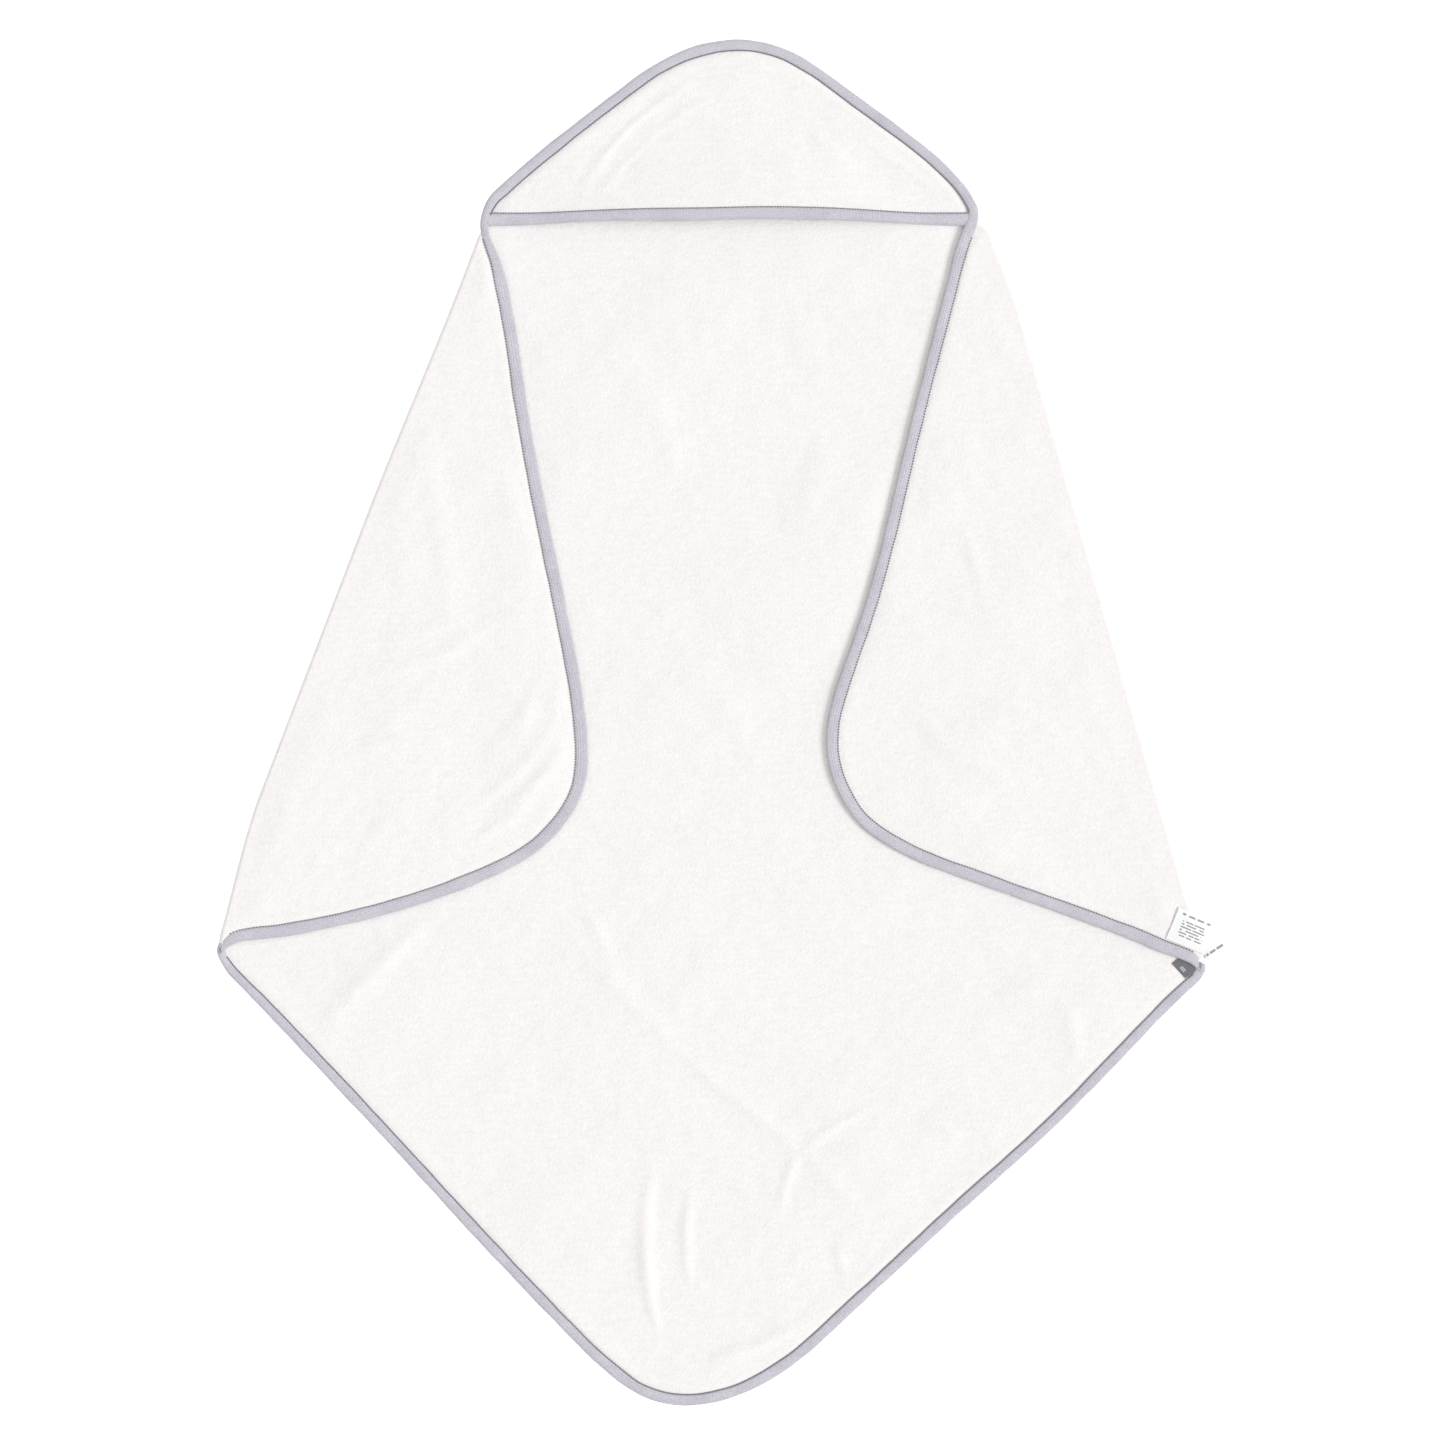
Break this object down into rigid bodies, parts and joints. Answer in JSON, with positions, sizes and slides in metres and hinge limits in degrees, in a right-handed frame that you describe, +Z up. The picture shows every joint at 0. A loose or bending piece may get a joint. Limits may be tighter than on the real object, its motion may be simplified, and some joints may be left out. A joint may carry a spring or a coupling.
{
  "type": "hooded baby towel",
  "caption": "White terry baby towel with a sewn corner hood and lavender-grey bias binding, lying flat with both side corners folded in over the front.",
  "frame": {"origin": "middle of the towel's box in plan, on the surface that it lies on", "axes": "+Z up from that surface, +Y towards the hood's apex, +X towards the side with the labels"},
  "size_m": [0.7492, 1.0082, 0.0133],
  "materials": {
    "terry": "soft white knitted terry with a short looped pile",
    "bias_binding": "matt lavender-grey bias-cut jersey strip, slightly puckered",
    "topstitch_thread": "matt sewing thread a shade darker than the binding",
    "label_satin": "smooth white printed satin ribbon",
    "label_woven": "dense dark grey woven tape"
  },
  "bodies": {
    "towel_body": {"body_panel": "terry", "left_corner_binding": "bias_binding", "left_corner_topstitch": "topstitch_thread", "right_corner_binding": "bias_binding", "right_corner_topstitch": "topstitch_thread", "woven_tab": "label_woven"},
    "left_flap": {"left_flap_panel": "terry", "left_flap_binding": "bias_binding", "left_flap_topstitch": "topstitch_thread"},
    "right_flap": {"right_flap_panel": "terry", "right_flap_binding": "bias_binding", "right_flap_topstitch": "topstitch_thread"},
    "hood": {"hood_back_panel": "terry", "hood_panel": "terry", "hood_edge_binding": "bias_binding", "hood_edge_topstitch": "topstitch_thread", "hood_front_binding": "bias_binding", "hood_front_topstitch": "topstitch_thread"},
    "foot": {"foot_panel": "terry", "foot_binding": "bias_binding", "foot_topstitch": "topstitch_thread"},
    "care_label": {"care_label_upper_leaf": "label_satin", "care_label_lower_leaf": "label_satin"}
  },
  "joints": [
    {"name": "left_flap_fold", "type": "hinge", "parent": "towel_body", "child": "left_flap", "pos_m": [-0.19102, 0.33421, 0.00295], "axis": [-0.3575, -0.9339, 0], "range_deg": [0, 180]},
    {"name": "right_flap_fold", "type": "hinge", "parent": "towel_body", "child": "right_flap", "pos_m": [0.23158, 0.27511, 0.00295], "axis": [-0.2747, 0.9615, 0], "range_deg": [0, 180]},
    {"name": "hood_lift", "type": "hinge", "parent": "towel_body", "child": "hood", "pos_m": [0, 0.36521, 0.00235], "axis": [1, 0, 0], "range_deg": [0, 100]},
    {"name": "foot_fold", "type": "hinge", "parent": "towel_body", "child": "foot", "pos_m": [0, -0.20479, 0.0046], "axis": [-1, 0, 0], "range_deg": [0, 180]},
    {"name": "care_label_flip", "type": "hinge", "parent": "right_flap", "child": "care_label", "pos_m": [0.32958, -0.15879, 0.0073], "axis": [0.9233, -0.3841, 0], "range_deg": [0, 120]}
  ]
}
